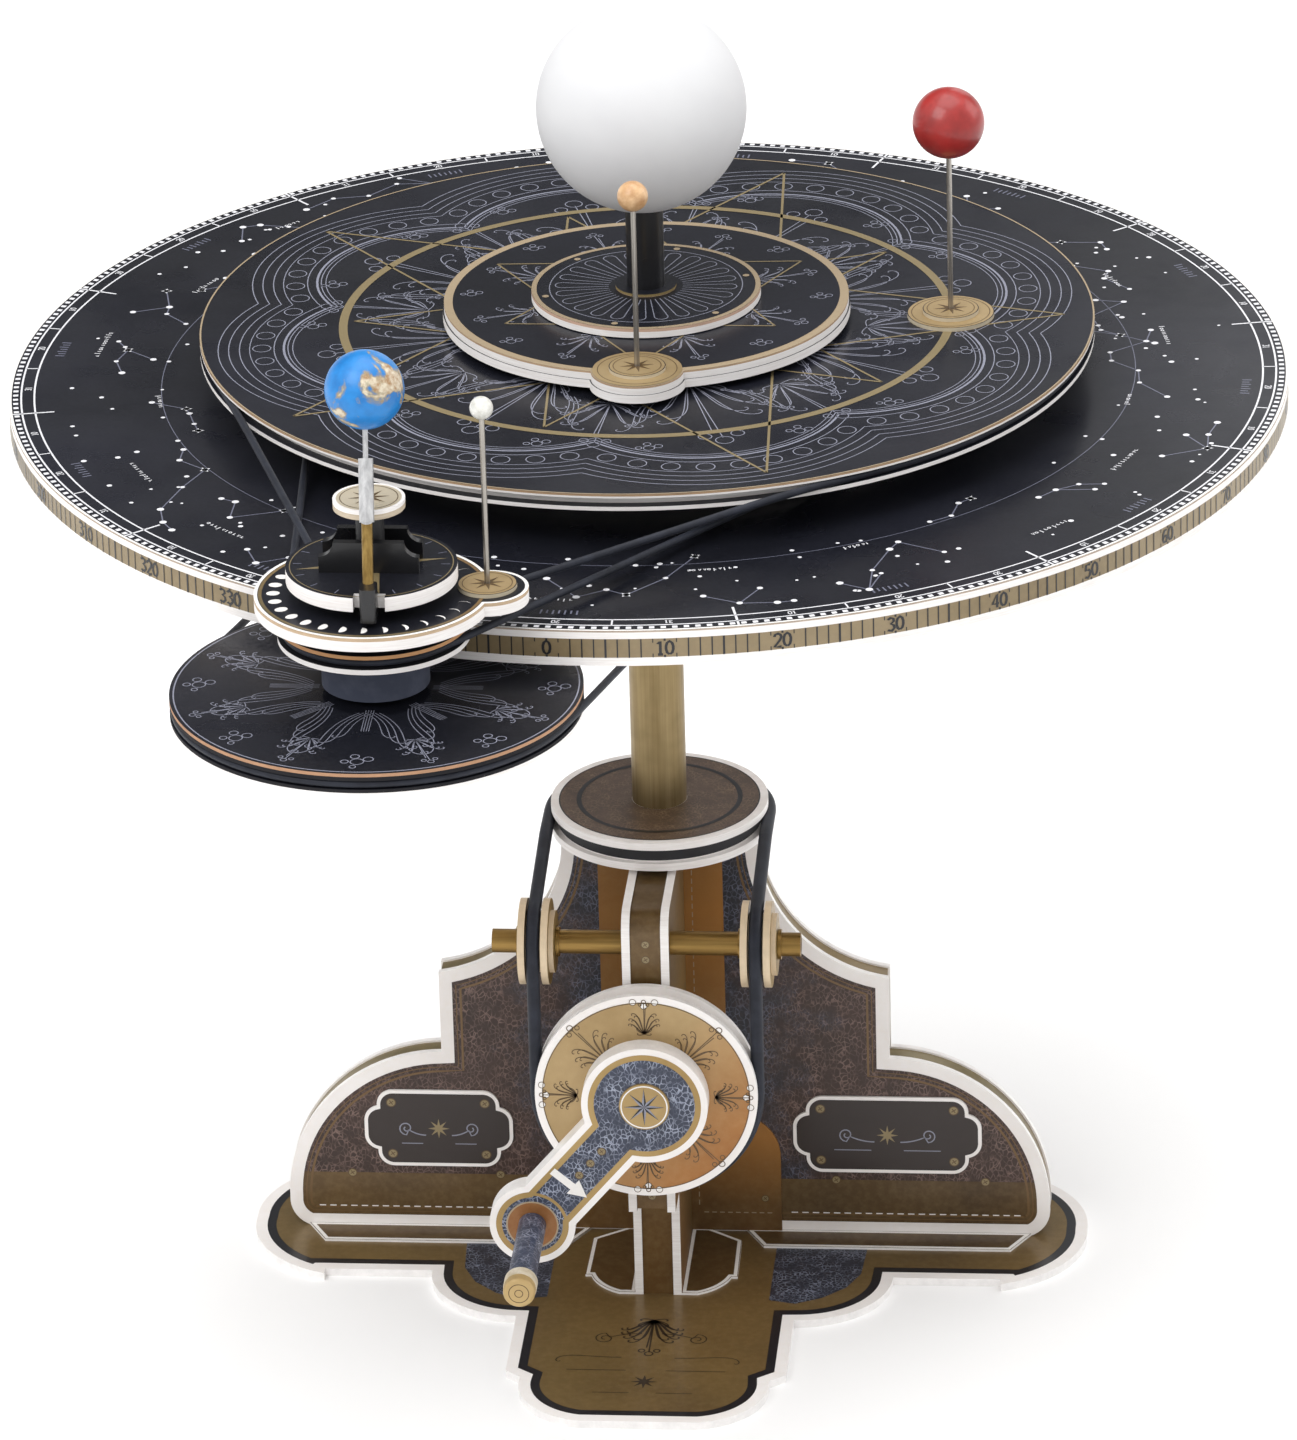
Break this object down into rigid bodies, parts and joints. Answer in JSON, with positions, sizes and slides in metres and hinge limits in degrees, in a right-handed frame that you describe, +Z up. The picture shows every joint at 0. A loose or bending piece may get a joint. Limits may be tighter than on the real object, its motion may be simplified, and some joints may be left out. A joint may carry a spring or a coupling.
{
  "type": "orrery",
  "caption": "Table-top card orrery: a crank and cord belts turn an arm with Earth and Moon round a star-chart disc, with Venus and Mercury discs below a white sun.",
  "frame": {"origin": "on the column's axis, on the plane that the base rests on", "axes": "+Z up along the column, -Y towards the crank and the reader, +X to the reader's right"},
  "size_m": [0.3799, 0.4442, 0.4026],
  "materials": {
    "dark_print_card": "printed, satin lacquer",
    "gold_print_card": "printed metallic gold, satin",
    "leather_print_card": "leather print, satin",
    "plaque_card": "printed, satin",
    "white_card": "matte",
    "wood": "plain",
    "brass": "satin",
    "steel": "bright",
    "black_plastic": "satin",
    "knob_card": "printed, satin",
    "bush_plastic": "matte",
    "sun_white": "matte white",
    "venus_red": "gloss paint",
    "mercury_cream": "gloss paint",
    "moon_white": "gloss paint",
    "earth_blue": "satin paint",
    "belt_rubber": "matte",
    "roller_rubber": "matte",
    "grip_wrap": "leather print, satin"
  },
  "bodies": {
    "base": {"base_plate": "gold_print_card", "centre_shaft": "steel", "crank_bearing": "brass", "drive_belt": "belt_rubber", "fixed_pulley": "dark_print_card", "foot_flanges": "gold_print_card", "front_ribs": "white_card", "guide_axle": "brass", "guide_collars": "brass", "pedestal_edge_strip": "gold_print_card", "pedestal_front_panel": "leather_print_card", "pedestal_rear_panel": "leather_print_card", "rear_ribs": "white_card", "rib_flaps": "gold_print_card", "rib_strips": "gold_print_card", "shaft_block": "wood", "side_plaques": "plaque_card", "sun_disc": "dark_print_card", "sun_globe": "sun_white", "sun_tube": "black_plastic", "thrust_washers": "bush_plastic", "zodiac_bottom_board": "white_card", "zodiac_core": "white_card", "zodiac_rim_band": "gold_print_card", "zodiac_top_board": "dark_print_card"},
    "crank": {"crank_wheel": "gold_print_card", "crank_axle": "steel", "crank_arm": "leather_print_card", "crank_medallion": "brass", "grip_pin": "brass"},
    "crank_grip": {"crank_grip": "grip_wrap"},
    "guide_left": {"guide_pulley_left": "gold_print_card"},
    "guide_right": {"guide_pulley_right": "gold_print_card"},
    "earth_arm": {"column_tube": "brass", "column_bushes": "bush_plastic", "column_pulley": "gold_print_card", "arm_boards": "white_card", "venus_belt": "belt_rubber", "mercury_belt": "belt_rubber", "earth_belt": "belt_rubber"},
    "moon_spindle": {"roller_drum": "roller_rubber", "moon_pulley_stack": "dark_print_card", "moon_disc": "dark_print_card", "moon_pin": "steel", "moon_ball": "moon_white"},
    "earth_spindle": {"earth_pulley": "dark_print_card", "earth_rod": "steel", "earth_disc": "dark_print_card", "earth_knob": "knob_card", "axis_bracket": "black_plastic", "axis_foot": "black_plastic", "axis_tube": "steel"},
    "earth_globe": {"earth_globe": "earth_blue"},
    "venus": {"venus_disc": "dark_print_card", "venus_pin": "steel", "venus_ball": "venus_red"},
    "mercury": {"mercury_pulley": "dark_print_card", "mercury_disc": "dark_print_card", "mercury_pin": "steel", "mercury_ball": "mercury_cream"}
  },
  "joints": [
    {"name": "arm_turn", "type": "hinge", "parent": "base", "child": "earth_arm", "pos_m": [0, 0, 0.2], "axis": [0, 0, 1], "continuous": true},
    {"name": "crank_turn", "type": "hinge", "parent": "base", "child": "crank", "pos_m": [0, -0.0665, 0.0822], "axis": [0, -1, 0], "continuous": true},
    {"name": "grip_spin", "type": "hinge", "parent": "crank", "child": "crank_grip", "pos_m": [-0.03482, -0.095, 0.04158], "axis": [0, -1, 0], "continuous": true},
    {"name": "guide_left_turn", "type": "hinge", "parent": "base", "child": "guide_left", "pos_m": [-0.0333, -0.055, 0.1258], "axis": [1, 0, 0], "continuous": true},
    {"name": "guide_right_turn", "type": "hinge", "parent": "base", "child": "guide_right", "pos_m": [0.0333, -0.055, 0.1258], "axis": [1, 0, 0], "continuous": true},
    {"name": "moon_turn", "type": "hinge", "parent": "earth_arm", "child": "moon_spindle", "pos_m": [-0.0607, -0.1962, 0.29], "axis": [0, 0, 1], "continuous": true},
    {"name": "earth_turn", "type": "hinge", "parent": "earth_arm", "child": "earth_spindle", "pos_m": [-0.0607, -0.1962, 0.29], "axis": [0, 0, 1], "continuous": true},
    {"name": "globe_spin", "type": "hinge", "parent": "earth_spindle", "child": "earth_globe", "pos_m": [-0.0607, -0.1962, 0.3629], "axis": [-0.0278, 0.3978, 0.9171], "continuous": true},
    {"name": "venus_turn", "type": "hinge", "parent": "base", "child": "venus", "pos_m": [0, 0, 0.302], "axis": [0, 0, 1], "continuous": true},
    {"name": "mercury_turn", "type": "hinge", "parent": "base", "child": "mercury", "pos_m": [0, 0, 0.309], "axis": [0, 0, 1], "continuous": true}
  ],
  "couplings": [
    {"joint": "crank_turn", "follows": "arm_turn", "ratio": 1},
    {"joint": "guide_left_turn", "follows": "arm_turn", "ratio": 2.8957},
    {"joint": "guide_right_turn", "follows": "arm_turn", "ratio": -2.8957},
    {"joint": "moon_turn", "follows": "arm_turn", "ratio": 12.368},
    {"joint": "earth_turn", "follows": "arm_turn", "ratio": -1},
    {"joint": "venus_turn", "follows": "arm_turn", "ratio": 1.6255},
    {"joint": "mercury_turn", "follows": "arm_turn", "ratio": 4.152}
  ]
}
